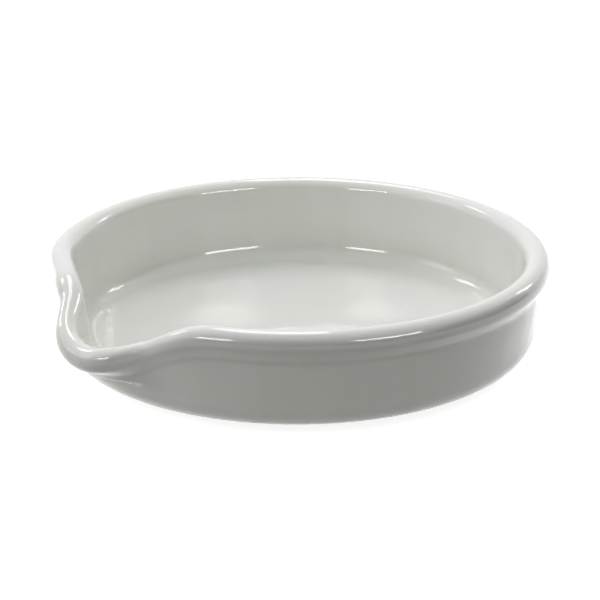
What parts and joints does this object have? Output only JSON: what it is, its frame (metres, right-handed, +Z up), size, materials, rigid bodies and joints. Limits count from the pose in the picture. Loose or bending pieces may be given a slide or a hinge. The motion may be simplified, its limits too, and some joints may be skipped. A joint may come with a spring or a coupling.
{
  "type": "evaporating dish",
  "caption": "Shallow flat-bottomed evaporating dish of glazed porcelain, with an everted rounded rim and a pinched pouring spout.",
  "frame": {"origin": "on the bowl's axis, in the plane of the flat base it rests on", "axes": "+Z up along the bowl's axis, -Y out along the pouring spout, +X to the right of the spout seen from outside"},
  "size_m": [0.1, 0.1056, 0.0207],
  "materials": {
    "glaze": "glossy"
  },
  "bodies": {
    "root": {"dish": "glaze"}
  },
  "joints": []
}
